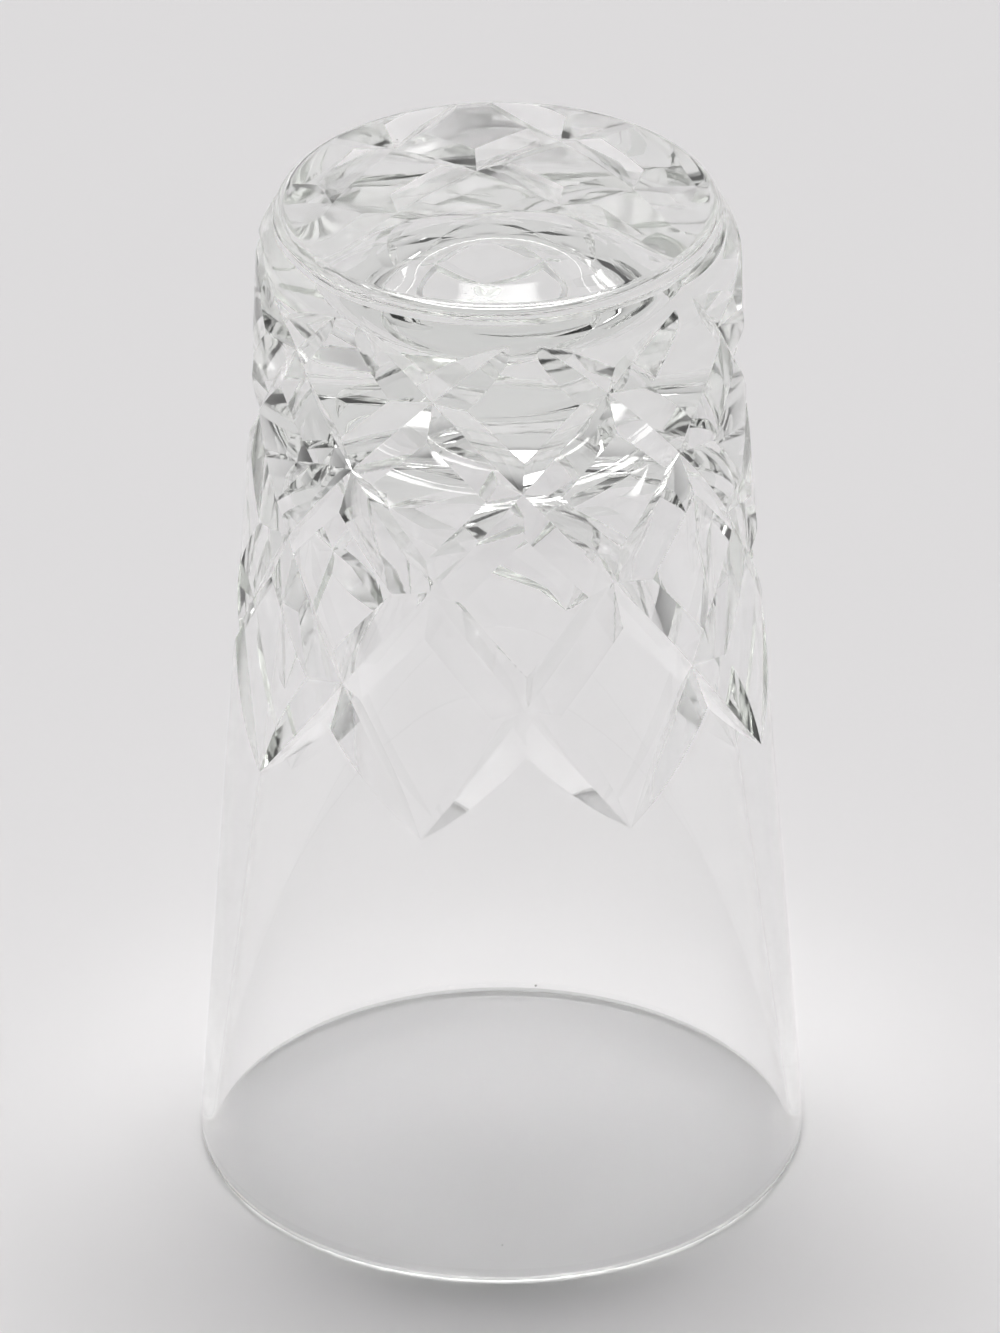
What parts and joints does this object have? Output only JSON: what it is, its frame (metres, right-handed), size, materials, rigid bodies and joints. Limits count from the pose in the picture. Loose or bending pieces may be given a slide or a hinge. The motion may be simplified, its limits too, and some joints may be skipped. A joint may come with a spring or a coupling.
{
  "type": "glass tumbler",
  "caption": "Tall tapered clear glass tumbler with a thick base and crossing V-shaped cuts round its lower half, standing rim down.",
  "frame": {"origin": "centre of the rim's circle, on the surface that the upturned tumbler stands on", "axes": "+Z along the tumbler's axis from the rim up to the foot; +X and +Y across it, with -Y towards the side that the picture shows"},
  "size_m": [0.07, 0.07, 0.121],
  "materials": {
    "clear_glass": "polished clear glass with a faint grey-green tint, and fine grinding lines along the cuts"
  },
  "bodies": {
    "root": {"tumbler": "clear_glass"}
  },
  "joints": []
}
